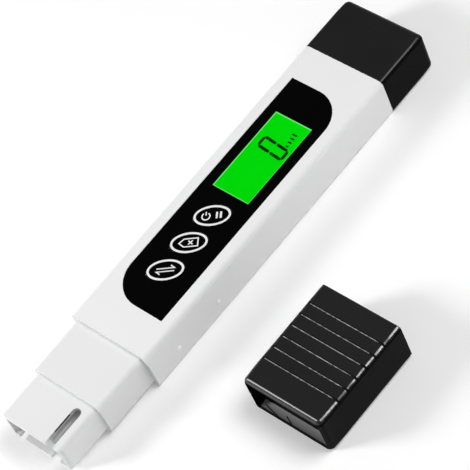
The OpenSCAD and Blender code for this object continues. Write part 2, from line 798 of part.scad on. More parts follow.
body_sleeve();
graphic_overlay();
display_window();
lcd_glass();
lcd_bezel();
backlight_guide();
backlight_leds();
zebra_strips();
circuit_board();
controller_chip();
crystal();
board_components();
board_screws();
tact_switches();
mode_key();
clear_key();
power_key();
mode_plunger();
clear_plunger();
power_plunger();
inner_frame();
probe_base();
electrodes();
temperature_sensor();
probe_potting();
sensor_leads();
left_cell();
right_cell();
positive_contact();
negative_contact();
bridge_contact();
battery_cap();
probe_cap();
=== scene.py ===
# %% [markdown]
# # A pocket water meter and its loose cap
# The object is a pen-shaped meter: a white sleeve with a black printed film, a lit
# display, three oval keys, a slotted probe end and a black battery cap. The solids come
# from a fixed frame, already at their real size in metres. This lesson dresses them:
# it rounds their sharp edges, prints the marks and gives every piece a finish.
#
# We load the frame first. Its pieces keep their places and sizes, so every later place
# is read from it.

import json
import math

import bmesh
import bpy
from mathutils import Matrix, Vector


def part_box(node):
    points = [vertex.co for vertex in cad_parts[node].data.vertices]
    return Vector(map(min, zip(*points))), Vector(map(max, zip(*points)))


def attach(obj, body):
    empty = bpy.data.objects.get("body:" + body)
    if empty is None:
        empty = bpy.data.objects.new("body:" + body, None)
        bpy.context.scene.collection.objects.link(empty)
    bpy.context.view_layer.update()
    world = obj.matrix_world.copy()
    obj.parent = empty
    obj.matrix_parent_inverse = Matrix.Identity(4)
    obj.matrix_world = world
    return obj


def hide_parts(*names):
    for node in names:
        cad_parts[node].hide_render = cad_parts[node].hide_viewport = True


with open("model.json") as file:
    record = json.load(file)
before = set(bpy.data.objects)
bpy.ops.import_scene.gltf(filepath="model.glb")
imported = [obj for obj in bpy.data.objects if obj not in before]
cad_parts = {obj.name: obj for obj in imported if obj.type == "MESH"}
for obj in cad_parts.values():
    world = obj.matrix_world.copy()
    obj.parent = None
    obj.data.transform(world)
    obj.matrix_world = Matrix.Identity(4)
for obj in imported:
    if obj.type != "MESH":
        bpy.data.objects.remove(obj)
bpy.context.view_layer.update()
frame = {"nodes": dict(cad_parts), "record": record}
MM = 0.001
print("nodes in the frame:", len(frame["nodes"]))

# %% [markdown]
# ## The camera
# The photograph looks down on the meter from the side of its keys, with a long lens, so
# parallel edges stay nearly parallel. A camera is easiest to read as a place, a point it
# looks at and a roll round its own line of sight.

# %% Place the camera
CAMERA_AT = Vector((-0.23654, -0.44258, 0.63773))
LOOKS_AT = Vector((-0.00953, -0.01117, 0.01589))
CAMERA_ROLL = math.radians(-26.91)
LENS_MM = 199.2
SENSOR_MM = 36.0


def aim(at, towards, roll=0.0):
    """World matrix of something at one point that looks at another."""
    turn = (towards - at).to_track_quat("-Z", "Y").to_matrix().to_4x4()
    return Matrix.Translation(at) @ turn @ Matrix.Rotation(roll, 4, "Z")


camera_data = bpy.data.cameras.new("camera")
camera_data.lens = LENS_MM
camera_data.sensor_width = SENSOR_MM
camera = bpy.data.objects.new("camera", camera_data)
camera.matrix_world = aim(CAMERA_AT, LOOKS_AT, CAMERA_ROLL)
bpy.context.scene.collection.objects.link(camera)
bpy.context.scene.camera = camera
print("camera is", round((CAMERA_AT - LOOKS_AT).length, 3), "m from the meter")

# %% [markdown]
# ## Shader maths as Python
# Finishes are built from nodes, and most of the nodes are arithmetic. A small class
# that wraps one socket lets us write that arithmetic as an expression: `1 - mask` adds
# a Math node and links it. Its other methods name what a finish often needs, such as a
# smooth step.

# %% Wires
class Wire:
    """A number that flows between nodes; arithmetic on it adds Math nodes."""

    def __init__(self, nodes, socket):
        self.nodes = nodes
        self.socket = socket

    def math(self, operation, *values):
        return self.nodes.node("Math", {"operation": operation}, dict(enumerate(values)))

    def __add__(self, other):
        return self.math("ADD", self, other)

    def __radd__(self, other):
        return self.math("ADD", other, self)

    def __sub__(self, other):
        return self.math("SUBTRACT", self, other)

    def __rsub__(self, other):
        return self.math("SUBTRACT", other, self)

    def __mul__(self, other):
        return self.math("MULTIPLY", self, other)

    def __rmul__(self, other):
        return self.math("MULTIPLY", other, self)

    def __truediv__(self, other):
        return self.math("DIVIDE", self, other)

    def __rtruediv__(self, other):
        return self.math("DIVIDE", other, self)

    def __gt__(self, other):
        return self.math("GREATER_THAN", self, other)

    def __lt__(self, other):
        return self.math("LESS_THAN", self, other)

    def size(self):
        """The value without its sign."""
        return self.math("ABSOLUTE", self)

    def sine(self):
        return self.math("SINE", self)

    def root(self):
        return self.math("SQRT", self)

    def most(self, other):
        """The larger of two values."""
        return self.math("MAXIMUM", self, other)

    def wrapped(self, pitch):
        """The value folded into half a pitch on each side of zero."""
        return self.math("WRAP", self, pitch / 2, -pitch / 2)

    def between(self, low, high):
        """1 where the value lies between two limits, otherwise 0."""
        return (self > low) * (self < high)

    def step(self, low, high):
        """0 below low, 1 above high, smooth between."""
        return self.nodes.node(
            "MapRange", {"interpolation_type": "SMOOTHSTEP"},
            {"Value": self, "From Min": low, "From Max": high})


print("a wire can give:", [name for name in vars(Wire) if not name.startswith("_")])

# %% [markdown]
# Every node, also those of the arithmetic above, comes from one method. It takes the
# node's type, then its settings, such as the operation of a Math node or the stops of a
# ramp, and then fills its sockets with numbers or with wires. A finish is a node tree
# with a shader at its end, and it knows the few things that nearly all finishes use:
# the place of a point, the way a surface faces, noise, a mix of two colours and relief.

# %% Node trees and finishes
class Nodes:
    """A node tree, the shader it leads to, and the one way to add a node."""

    def __init__(self, tree, shader):
        self.tree = tree
        self.shader = tree.nodes[shader]

    def fill(self, socket, value):
        """Fills a socket with a wire or a plain value; a colour may have three numbers."""
        if isinstance(value, Wire):
            self.tree.links.new(value.socket, socket)
            return
        plain = socket.default_value
        if hasattr(plain, "__len__") and len(plain) == 4 and len(value) == 3:
            value = (*value, 1.0)
        socket.default_value = value

    def node(self, kind, settings=None, sockets=None, out=0):
        """Adds a node: first its settings, then its sockets; returns one output."""
        made = self.tree.nodes.new("ShaderNode" + kind)
        for name, value in (settings or {}).items():
            if name == "stops":
                for stop, (position, colour) in zip(made.color_ramp.elements, value):
                    stop.position = position
                    stop.color = (*colour, 1.0)
            else:
                setattr(made, name, value)
        for name, value in (sockets or {}).items():
            self.fill(made.inputs[name], value)
        return Wire(self, made.outputs[out])

    def set(self, **sockets):
        """Fills the shader's sockets, named with _ for a space."""
        for name, value in sockets.items():
            self.fill(self.shader.inputs[name.replace("_", " ")], value)

    def axes(self, point):
        """The three numbers of a point."""
        split = self.node("SeparateXYZ", None, {0: point})
        return [Wire(self, output) for output in split.socket.node.outputs]


class Finish(Nodes):
    """One material: its nodes, and what most finishes are made of."""

    def __init__(self, name, **fixed):
        self.material = bpy.data.materials.new(name)
        self.material.use_nodes = True
        super().__init__(self.material.node_tree, "Principled BSDF")
        self.set(**fixed)

    def place(self):
        """The point on the piece, in metres in the frame's own axes."""
        return self.node("TexCoord", out="Object")

    def facing(self):
        """The three numbers of the surface's own direction."""
        return self.axes(self.node("TexCoord", out="Normal"))

    def stretched(self, point, x, y, z):
        """The point with each axis made longer or shorter."""
        return self.node("VectorMath", {"operation": "MULTIPLY"}, {0: point, 1: (x, y, z)})

    def noise(self, point, grain, detail=2.0):
        """Soft noise from 0 to 1, with grains about that many metres wide."""
        return self.node(
            "TexNoise", None, {"Vector": point, "Scale": 1 / grain, "Detail": detail})

    def tint(self, amount, low, high):
        """A colour between two others, plain or wired, by a wire from 0 to 1."""
        return self.node("Mix", {"data_type": "RGBA"}, {0: amount, 6: low, 7: high}, out=2)

    def relief(self, height, depth):
        """Feeds the Normal socket from a height between 0 and 1, depth in metres."""
        self.set(Normal=self.node(
            "Bump", None, {"Height": height, "Distance": depth, "Strength": 1.0}))


def grey(level):
    return (level, level, level)


def dimmed(colour, share):
    """The colour with a share of its light; a share over 1 makes it paler."""
    return [share * c for c in colour]


def tell(*materials):
    """Prints how many nodes each finish took."""
    print({material.name: len(material.node_tree.nodes) for material in materials})


print("a finish can give:", [name for name in vars(Finish) if not name.startswith("_")])

# %% [markdown]
# ## Moulded plastic
# Most of the meter is injection-moulded. Such a surface is one colour, but its gloss
# isn't quite even: the tool is spark-eroded, which leaves a very fine grain, and hands
# polish some patches. One plain colour would look like a drawing, so the finish has
# three layers: a slow change of tone, a slow change of gloss and a fine relief. Some
# kinds of face get painted shade on top of that. For each, a function says where they
# are and what share of the light is painted on them.

# %% The moulded finish
def moulded(name, colour, roughness, shades=(), **fixed):
    """Satin moulded plastic with a fine tool grain; each shade darkens one kind of face."""
    finish = Finish(name, **fixed)
    point = finish.place()
    slow = finish.noise(point, 22 * MM, 3.0)
    grain = finish.noise(point, 0.25 * MM, 3.0)
    tone = finish.tint(slow, dimmed(colour, 0.965), colour)
    for shade in shades:
        where, share = shade(finish, point)
        tone = finish.tint(where, tone, dimmed(colour, share))
    finish.set(Base_Color=tone)
    finish.set(Roughness=roughness + 0.06 * (slow - 0.5) + 0.05 * (grain - 0.5))
    finish.relief(grain, 0.004 * MM)
    return finish.material


# the nubs' white is painted paler than the sleeve's, a painted highlight on the domes
nub_highlight_white = moulded("nub_highlight_white", grey(0.97), 0.35)
frame_white = moulded("frame_white", (0.8, 0.8, 0.785), 0.5)
holder_plastic = moulded("holder_plastic", (0.72, 0.72, 0.69), 0.5)
switch_plastic = moulded("switch_plastic", (0.03, 0.03, 0.032), 0.45)
plunger_plastic = moulded("plunger_plastic", (0.7, 0.69, 0.66), 0.4)
tell(nub_highlight_white, frame_white, holder_plastic, switch_plastic, plunger_plastic)

# %% [markdown]
# The white outer mouldings have three such faces, each with painted shade. The steps
# behind the guard look towards the tip and away from the light, and are painted a little
# darker. The walls of the front slot are painted grey for the shade between the bright
# guard above and the metal below, paler towards the open tip. And along one of these
# walls, just under its upper edge, a thin dark line is painted as a shadow. Each could be
# a material of its own, on faces cut out for it. A mask made from the direction and the
# place of a face does the same and leaves the mesh whole.

# %% White with its shaded faces
NEAR = 0.1 * MM
GUARD_TIP = 4 * MM
SLOT_OFF_MIDDLE = 8 * MM
SLOT_HALF = 1.65 * MM
SLOT_LENGTH = 14.4 * MM
GUARD_BELOW_SLEEVE = 2.15 * MM
LINE_DEPTH = 0.75 * MM

probe_low, probe_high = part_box("probe_base")
slot_y = (probe_low.y + probe_high.y) / 2 - SLOT_OFF_MIDDLE
guard_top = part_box("body_sleeve")[1].z - GUARD_BELOW_SLEEVE


def shaded_step_faces(finish, point):
    """Painted shade on the steps behind the guard, whose faces look towards the tip."""
    nx, ny, nz = finish.facing()
    x, y, z = finish.axes(point)
    return (0 - nx).step(0.5, 0.95) * (x > probe_low.x + GUARD_TIP), 0.90


def slot_wall_shade(finish, point):
    """Painted shade on the cut walls of the front slot, lighter near the open tip."""
    nx, ny, nz = finish.facing()
    x, y, z = finish.axes(point)
    beside = (y - slot_y).size() < SLOT_HALF + NEAR
    from_tip = x - probe_low.x
    along = from_tip.step(0.4 * MM, 2.6 * MM) * (from_tip < SLOT_LENGTH + NEAR)
    return beside * (nz.size() < 0.6) * along, 0.55


def slot_shadow_line(finish, point):
    """A painted shadow line just under the upper edge of the slot's inner wall."""
    nx, ny, nz = finish.facing()
    x, y, z = finish.axes(point)
    wall = (ny < -0.6) * ((y - slot_y - SLOT_HALF).size() < NEAR)
    along = (x - probe_low.x).between(4.5 * MM, 11.5 * MM)
    return wall * along * (z > guard_top - LINE_DEPTH), 0.03


white_plastic = moulded(
    "white_plastic", (0.87, 0.87, 0.875), 0.42, [shaded_step_faces], Specular_IOR_Level=0.15)
probe_white = moulded(
    "probe_white", (0.835, 0.835, 0.84), 0.38, [shaded_step_faces, slot_wall_shade, slot_shadow_line],
    Specular_IOR_Level=0.2)
tell(white_plastic, probe_white)

# %% [markdown]
# ## Black gloss
# The two caps are a harder, shinier plastic. What shows on black is less its colour
# than what lies on it: hairlines from handling, and a line of light where hands have
# polished the rounded edges. The colour also carries painted light: faces that look up
# keep a paler, patchy black, as if lit from above, and all other faces are painted ten
# times darker as painted shade. Noise that is stretched in one direction makes the
# hairlines, and two sets at a slant to each other keep them from looking combed. The
# polish is a coat that only the upper edges have. An edge is known by its direction,
# which lies along none of the three axes.

# %% The glossy finish
BLACK = (0.0165, 0.0165, 0.0170)


def hairlines(finish, point, along, width):
    """Long thin noise: near 0 on most of the surface, near 1 on a few scratches."""
    return finish.noise(finish.stretched(point, *along), width).step(0.62, 0.74)


def black_gloss(name, colour, polish):
    """Shiny black with painted top light; returns the finish, its colour and where its edges
    are.
    """
    finish = Finish(name, Specular_IOR_Level=0.03, Coat_Roughness=0.18, Coat_IOR=2.5)
    point = finish.place()
    slow = finish.noise(point, 12 * MM, 3.0)
    fine = finish.noise(point, 0.35 * MM, 3.0)
    scratch = hairlines(finish, point, (0.03, 1.0, 1.0), 0.3 * MM)
    crossed = hairlines(finish, point, (1.0, 0.05, 0.4), 0.4 * MM)
    worn = 0.6 * scratch + 0.4 * crossed
    nx, ny, nz = finish.facing()
    flatness = nx.size().most(ny.size()).most(nz.size())
    edge = (1 - flatness.step(0.93, 0.995)) * nz.step(0.5, 0.75)
    lit_top_mask = nz.step(0.6, 0.98)
    paler_patches = finish.tint(0.5 * slow + 0.3 * worn, colour, dimmed(colour, 1.5))
    # painted light: faces that look up keep the paler patches, all others get painted shade
    wear_and_painted_shade = finish.tint(lit_top_mask, dimmed(colour, 0.1), paler_patches)
    finish.set(Base_Color=wear_and_painted_shade, Coat_Weight=polish * edge)
    finish.set(Roughness=0.24 + 0.08 * (slow - 0.5) + 0.1 * worn)
    finish.relief(fine - 0.3 * worn, 0.002 * MM)
    return finish, wear_and_painted_shade, edge


black_plastic = black_gloss("black_plastic", dimmed(BLACK, 0.85), 0.08)[0].material
tell(black_plastic)

# %% [markdown]
# ## The loose cap's grip
# Six grooves run across the front of the loose cap. A pale line is painted along the
# floor of each, a painted highlight, and where they meet the long edge they break its
# line of light into dashes. Both follow from one number, the distance to the nearest
# groove. Folding the distance along the cap into one pitch gives that number for all
# the grooves at once.

# %% Grooves of the loose cap
GROOVE_FIRST = 7.4 * MM
GROOVE_PITCH = 4.35 * MM
GROOVES = 6
GLINT_HALF = 0.12 * MM
BREAK_HALF = 0.42 * MM

cap_low, cap_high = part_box("probe_cap")
first_groove_x = cap_high.x - GROOVE_FIRST


def groove_places(finish, point):
    """Where a highlight is painted in the grooves, and where they break the long edge."""
    x, y, z = finish.axes(point)
    from_groove = (x - first_groove_x).wrapped(GROOVE_PITCH).size()
    last_x = first_groove_x - (GROOVES - 0.5) * GROOVE_PITCH
    grooved = x.between(last_x, first_groove_x + 0.5 * GROOVE_PITCH)
    bottom = z.between(cap_high.z - 0.5 * MM, cap_high.z - 0.08 * MM)
    across = y.between(cap_low.y + 2.8 * MM, cap_high.y - 1.5 * MM)
    groove_glint = bottom * across * grooved * (from_groove < GLINT_HALF)
    return groove_glint, grooved * (from_groove < BREAK_HALF)


print(GROOVES, "grooves, one in every", round(GROOVE_PITCH / MM, 2), "mm")

# %% [markdown]
# In the mouth a strip of the inner wall catches some light, and that light is painted:
# a matt grey on the black, paler further in, with three dark lines painted across it.
# Each line is straight: it starts and ends at some distance from one side, at a first
# depth, and runs deeper or shallower with a slope.

# %% Mouth of the loose cap
STRIP_FROM = 1.0 * MM
STRIP_TO = 3.6 * MM
STRIP_BELOW = 1.07 * MM
STRIP_BESIDE = 1.9 * MM
MARK_HALF = 0.22 * MM
MOUTH_DARK_LINES = [(3.0, 9.5, 2.1, 0.21), (11.1, 16.2, 2.3, 0.43), (16.2, 20.6, 0.5, -0.04)]


def mouth_painted_light(finish, point):
    """Where the light painted inside the mouth lies, and its colour with three dark lines."""
    x, y, z = finish.axes(point)
    depth = x - cap_low.x
    off_middle = (y - (cap_low.y + cap_high.y) / 2).size()
    within = off_middle < (cap_high.y - cap_low.y) / 2 - STRIP_BESIDE
    strip = z.between(cap_low.z + STRIP_BELOW, cap_high.z - STRIP_BELOW) * within
    strip = strip * depth.between(STRIP_FROM, STRIP_TO)
    from_side = cap_high.y - y
    marks = 0.0
    for start, end, first_depth, slope in MOUTH_DARK_LINES:
        off_line = depth - first_depth * MM + slope * (from_side - start * MM)
        mark = (off_line.size() < MARK_HALF) * from_side.between(start * MM, end * MM)
        marks = mark + marks
    # painted light: grey on the black, paler further in
    plain = finish.tint(depth / STRIP_TO, grey(0.08), grey(0.42))
    return strip, finish.tint(marks, plain, grey(0.03))


print("the strip is", round((STRIP_TO - STRIP_FROM) / MM, 2), "mm deep")

# %% [markdown]
# The loose cap's black joins these: the gloss, the painted highlights in the grooves
# and the painted light in the mouth. Its long edges are rubbed in patches, so their
# polish is weaker and uneven, while the edge over the mouth keeps all of it. A narrow
# lip at the mouth's side catches light too.

# %% The loose cap's black
LIP_LENGTH = 1.5 * MM


def gripped_black():
    """The loose cap's black: painted groove highlights, rubbed edges, painted light in the
    mouth.
    """
    finish, outside, edge = black_gloss("gripped_black", BLACK, 1.0)
    point = finish.place()
    x, y, z = finish.axes(point)
    nx, ny, nz = finish.facing()
    glint_mask, broken = groove_places(finish, point)
    strip, mouth_light_colour = mouth_painted_light(finish, point)
    lip = (0 - nx).between(0.90, 0.985) * (ny < -0.05) * (x < cap_low.x + LIP_LENGTH)
    rubbed = finish.noise(point, 1.5 * MM).step(0.35, 0.65)
    polish = 1 - (ny.size() > nx.size()) * (0.88 - 0.38 * rubbed)
    finish.set(Coat_Weight=(polish * edge * (1 - broken)).most(lip))
    # a painted highlight along each groove floor, broken into pale patches
    glint_patches = finish.noise(finish.stretched(point, 1.0, 0.4, 1.0), 0.6 * MM)
    groove_glint = finish.tint(glint_patches.step(0.35, 0.65), grey(0.22), grey(0.80))
    grooved = finish.tint(glint_mask, outside, groove_glint)
    finish.set(Base_Color=finish.tint(strip, grooved, mouth_light_colour))
    return finish.material


black_grip = gripped_black()
tell(black_grip)

# %% [markdown]
# ## The printed film
# The panel is a thin plastic film, printed in black from behind and bonded into a
# shallow seat. Its front is smooth and even, so it reflects more clearly than the
# mouldings, with a very slight orange peel. The white marks on it are ink: matt, and
# not perfectly even where the screen's threads held it back. Both could be one picture
# on the film, but marks with a mesh and a finish of their own stay sharp from near by.

# %% Film and ink
def printed_film():
    """Black printed film with a slight orange peel."""
    finish = Finish("printed_film", Specular_IOR_Level=0.03)
    point = finish.place()
    peel = finish.noise(point, 1.6 * MM)
    slow = finish.noise(point, 15 * MM)
    finish.set(Base_Color=finish.tint(
        slow, (0.0013, 0.0013, 0.0015), (0.0021, 0.0021, 0.0025)))
    finish.set(Roughness=0.2 + 0.06 * (slow - 0.5))
    finish.relief(peel, 0.003 * MM)
    return finish.material


def screen_ink(name, colour, **fixed):
    """Screen-printed ink with a trace of the screen's weave."""
    finish = Finish(name, **fixed)
    weave = finish.noise(finish.place(), 0.12 * MM, 1.0)
    finish.set(Base_Color=finish.tint(weave.step(0.25, 0.5), dimmed(colour, 0.86), colour))
    finish.set(Roughness=0.5 + 0.1 * (weave - 0.5))
    finish.relief(weave, 0.002 * MM)
    return finish.material


film_black = printed_film()
ink_white = screen_ink("ink_white", grey(0.86))
tell(film_black, ink_white)

# %% [markdown]
# ## Metals and small parts
# Inside are tinned, brass and steel pieces, a green board and a few resins. They show
# when the battery cap is off, or through the slots of the probe end. Rolled and turned
# metal has streaks in one direction, so the same noise is stretched along that way.

# %% Metals
def streaked_metal(name, colour, roughness, along):
    """Metal with drawn or turned streaks; along gives the stretch of each axis."""
    finish = Finish(name, Metallic=1.0)
    point = finish.place()
    streak = finish.noise(finish.stretched(point, *along), 0.2 * MM, 3.0)
    slow = finish.noise(point, 6 * MM)
    finish.set(Base_Color=finish.tint(
        0.5 * streak + 0.5 * slow, dimmed(colour, 0.8), colour))
    finish.set(Roughness=roughness + 0.16 * (streak - 0.5))
    finish.relief(streak, 0.002 * MM)
    return finish.material


TURNED = (0.1, 1.0, 1.0)
ROLLED = (0.06, 1.0, 1.0)
electrode_metal = streaked_metal("electrode_metal", grey(0.72), 0.85, TURNED)
sensor_steel = streaked_metal("sensor_steel", (0.42, 0.42, 0.43), 0.5, TURNED)
spring_brass = streaked_metal("spring_brass", (0.78, 0.60, 0.32), 0.28, ROLLED)
plated_metal = streaked_metal("plated_metal", (0.68, 0.68, 0.70), 0.22, ROLLED)
tell(electrode_metal, sensor_steel, spring_brass, plated_metal)

# %% [markdown]
# ## The cells
# A button cell is a drawn steel can. Its flat faces are turned, so the straight streaks
# of the other metals would look wrong: here they run in rings round the middle.
# Distance from that middle is a number like any other, and noise along it gives rings.

# %% Ringed steel
def middle(node):
    """The middle of a node's box."""
    low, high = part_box(node)
    return (low + high) / 2


def ringed_steel(name, node):
    """Steel whose streaks run in rings round the upright axis of a node."""
    finish = Finish(name, Metallic=1.0)
    x, y, z = finish.axes(finish.place())
    away_x = x - middle(node).x
    away_y = y - middle(node).y
    radius = (away_x * away_x + away_y * away_y).root()
    ring_point = finish.node("CombineXYZ", None, {0: radius, 1: z * 0.3, 2: 0.0})
    rings = finish.noise(ring_point, 0.12 * MM, 3.0)
    finish.set(Base_Color=finish.tint(rings, (0.52, 0.52, 0.54), (0.70, 0.70, 0.72)))
    finish.set(Roughness=0.22 + 0.14 * rings)
    finish.relief(rings, 0.002 * MM)
    return finish.material


left_steel = ringed_steel("left_steel", "left_cell")
right_steel = ringed_steel("right_steel", "right_cell")
cells_apart = middle("left_cell").y - middle("right_cell").y
print("cells lie", round(cells_apart / MM, 2), "mm apart")

# %% [markdown]
# ## Board and resins
# A circuit board is glass laminate under green lacquer. Where copper runs beneath, the
# lacquer looks lighter and stands a little higher. Bands from a smooth wave run along
# the board, wander a little and stand in for those tracks. The resins of the potting,
# the chip and the small parts share one finish with fine pits.

# %% Board and resins
TRACK_WANDER = 4 * MM
TRACK_WIDTH = 0.35 * MM


def lacquered_board():
    """Green lacquer over copper tracks."""
    finish = Finish("lacquered_board", Coat_Weight=0.3, Coat_Roughness=0.15)
    point = finish.place()
    x, y, z = finish.axes(point)
    wander = finish.noise(finish.stretched(point, 1.0, 0.2, 1.0), 9 * MM, 1.0)
    wave = ((y + TRACK_WANDER * wander) / TRACK_WIDTH).sine()
    track = wave.step(0.35, 0.55)
    finish.set(Base_Color=finish.tint(track, (0.008, 0.075, 0.03), (0.02, 0.15, 0.06)))
    finish.set(Roughness=0.34 - 0.08 * track)
    finish.relief(track, 0.03 * MM)
    return finish.material


def cast_resin(name, colour, roughness):
    """Potting or moulding resin: even, with small pits."""
    finish = Finish(name)
    pits = finish.noise(finish.place(), 0.5 * MM, 4.0)
    finish.set(Base_Color=finish.tint(pits, colour, [1.3 * c + 0.002 for c in colour]))
    finish.set(Roughness=roughness + 0.12 * (pits - 0.5))
    finish.relief(pits, 0.01 * MM)
    return finish.material


board_green = lacquered_board()
potting_black = cast_resin("potting_black", (0.018, 0.018, 0.02), 0.3)
chip_black = cast_resin("chip_black", (0.02, 0.02, 0.021), 0.55)
ceramic_tan = cast_resin("ceramic_tan", (0.34, 0.25, 0.16), 0.5)
contact_pink = cast_resin("contact_pink", (0.5, 0.2, 0.26), 0.7)
led_amber = cast_resin("led_amber", (0.85, 0.78, 0.42), 0.3)
tell(board_green, potting_black, chip_black, ceramic_tan, contact_pink, led_amber)

# %% [markdown]
# ## The lit display
# The display is the brightest thing in the picture: a green light guide behind the
# glass. Light enters a guide at one end, so it is a little stronger there. That is a
# slope along the meter, and the finish turns it into a faint change of green. The
# colour goes to Emission Color, and the strength stays a plain number on the shader.

# %% Lit glass and clear lens
GLOW = (0.0, 0.685, 0.002)
GLOW_DIM = (0.0, 0.645, 0.002)


def lit_glass():
    """Green backlit glass, brighter at the end where its lamps are."""
    low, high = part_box("lcd_glass")
    finish = Finish("lit_glass", Emission_Strength=1.0, Specular_IOR_Level=0.02)
    point = finish.place()
    x, y, z = finish.axes(point)
    from_lamps = (high.x - x) / (high.x - low.x)
    cloud = finish.noise(point, 9 * MM, 1.0)
    colour = finish.tint(0.6 * from_lamps + 0.4 * cloud, GLOW, GLOW_DIM)
    finish.set(Base_Color=finish.tint(cloud, (0.0, 0.02, 0.0), (0.0, 0.03, 0.0)))
    finish.set(Emission_Color=colour, Roughness=0.3 + 0.05 * cloud)
    return finish.material


def clear_plastic():
    """Clear moulded lens with a barely uneven gloss."""
    finish = Finish("clear_plastic", Transmission_Weight=1.0, IOR=1.05)
    slow = finish.noise(finish.place(), 8 * MM)
    finish.set(Base_Color=finish.tint(slow, (0.96, 0.985, 0.965), grey(1.0)))
    finish.set(Roughness=0.02 + 0.02 * slow)
    return finish.material


def frosted_guide():
    """Frosted light guide that glows faintly."""
    finish = Finish("frosted_guide", Emission_Strength=0.4)
    frost = finish.noise(finish.place(), 0.3 * MM)
    finish.set(Base_Color=finish.tint(frost, (0.55, 0.8, 0.55), (0.7, 0.9, 0.7)))
    finish.set(Emission_Color=finish.tint(frost, (0.0, 0.5, 0.0), (0.02, 0.6, 0.02)))
    finish.set(Roughness=0.5 + 0.2 * (frost - 0.5))
    return finish.material


glass_green = lit_glass()
lens_clear = clear_plastic()
guide_frost = frosted_guide()
segment_ink = screen_ink("segment_ink", (0.002, 0.014, 0.003), Specular_IOR_Level=0.02)
tell(glass_green, lens_clear, guide_frost, segment_ink)

# %% [markdown]
# ## Rounding the edges
# The frame's solids have knife-sharp edges wherever two faces meet. Nothing moulded is
# that sharp, and it is the small rounding that catches a line of light and makes an
# edge visible. So the sharp edges of a shell are bevelled by a few tenths of a
# millimetre or less. The small tools for that come first.

# %% Links, paint and bevels
SHARP = math.radians(28)


def link(name, mesh):
    """Puts a mesh into the scene under a name."""
    obj = bpy.data.objects.new(name, mesh)
    bpy.context.scene.collection.objects.link(obj)
    return obj


def paint(obj, material):
    """Gives the whole piece one material."""
    obj.data.materials.clear()
    obj.data.materials.append(material)
    return obj


def as_mesh(name, shape):
    """Turns a finished shape into a mesh."""
    mesh = bpy.data.meshes.new(name)
    shape.to_mesh(mesh)
    shape.free()
    return mesh


def is_sharp(edge):
    return edge.is_manifold and edge.calc_face_angle(0.0) > SHARP


def bevel(shape, edges, offset, segments):
    """Rounds some edges of a shape."""
    bmesh.ops.bevel(
        shape, geom=edges, offset=offset, offset_type="OFFSET", segments=segments,
        profile=0.5, affect="EDGES", clamp_overlap=True, miter_outer="ARC")


print("edges over", round(math.degrees(SHARP)), "degrees count as sharp")

# %% [markdown]
# ## Soft ends
# The battery cap's end and the loose cap's mouth are rounder: their corners are parts
# of a ball of 2 mm. A bevel can't make them, because the short edges of the corner arcs
# limit its width. So the skin near the end is cut by planes that lie closer together
# where the curve turns, and every point of that skin is moved onto a box with ball
# corners. Over the next 4 mm the radius goes back to that of the cap's long edges.

# %% Ball corners
LONG_EDGE_R = 1.6 * MM
FADE = 4 * MM
SKIN = 0.1 * MM
ON_END = 0.02 * MM
PAST_BALL = 0.05 * MM
CUT_NEAR = 0.03 * MM
CUT_TURNS = [math.radians(9 * k) for k in range(5)]


def clamped(value, low, high):
    return max(low, min(high, value))


def cut_across(shape, faces, axis, values):
    """Cuts the faces that a function names by planes square to one axis."""
    normal = Vector([1.0 if i == axis else 0.0 for i in range(3)])
    for value in values:
        chosen = faces()
        edges = dict.fromkeys(e for f in chosen for e in f.edges)
        corners = dict.fromkeys(v for f in chosen for v in f.verts)
        bmesh.ops.bisect_plane(
            shape, geom=[*edges, *corners, *chosen], dist=CUT_NEAR,
            plane_co=normal * value, plane_no=normal)


def core_point(point, low, high, r):
    """The nearest point of a core that lies r inside the four long sides of a box."""
    core = point.copy()
    for i in (1, 2):
        core[i] = clamped(point[i], low[i] + r, high[i] - r)
    return core


def on_plan_arc(point, far, low, high, radius):
    """Whether a point lies on the arc of the end's corner, seen from the front."""
    off_middle = abs(point.y - (low.y + high.y) / 2)
    beside = max(0.0, off_middle - ((high.y - low.y) / 2 - radius))
    return Vector((max(0.0, radius - far), beside)).length > radius - SKIN


def soften_end(shape, low, high, end_x, radius):
    """Moves the skin near one end onto a box with ball corners; counts its points."""
    inwards = 1 if end_x < (low.x + high.x) / 2 else -1

    def from_end(v):
        return (v.co.x - end_x) * inwards

    def near_end():
        reach = radius + PAST_BALL
        return [f for f in shape.faces if max(from_end(v) for v in f.verts) < reach]

    steps = [radius * (1 - math.tan(turn)) for turn in CUT_TURNS]
    depths = [*steps, radius + FADE / 2, radius + FADE]
    cut_across(shape, lambda: shape.faces[:], 0, [end_x + inwards * s for s in depths])
    for i in (1, 2):
        sides = [low[i] + s for s in steps] + [high[i] - s for s in steps]
        cut_across(shape, near_end, i, sides)

    moved = 0
    for v in shape.verts:
        far = from_end(v)
        if far > radius + FADE:
            continue
        off_core = (v.co - core_point(v.co, low, high, LONG_EDGE_R)).length
        skin = far < ON_END or off_core > LONG_EDGE_R - SKIN
        if inwards < 0:
            skin = skin or on_plan_arc(v.co, far, low, high, radius)
        if not skin:
            continue
        beyond = clamped((far - radius) / FADE, 0.0, 1.0)
        r = radius + (LONG_EDGE_R - radius) * beyond * beyond * (3 - 2 * beyond)
        core = core_point(v.co, low, high, r)
        core.x = end_x + inwards * max(far, radius)
        away = v.co - core
        if away.length > 0:
            v.co = core + away.normalized() * r
            moved += 1
    return moved


print("cuts at each end:", len(CUT_TURNS) + 2, "across and", 4 * len(CUT_TURNS), "along")

# %% [markdown]
# ## Dressing a node
# A shell is a copy of its node with its ends and edges rounded, and weighted normals
# keep the flat faces flat beside their bevels. The copy stands for the node, which stays
# in the frame, hidden. It rides on the node's body.

# %% The dressing helper
SAME_POINT = 0.0005 * MM
SAME_PLANE = math.radians(0.3)
BALL_FROM = 1 * MM
END_NEAR = 0.01 * MM
END_MARGIN = 0.6 * MM
END_SEGMENTS = 6


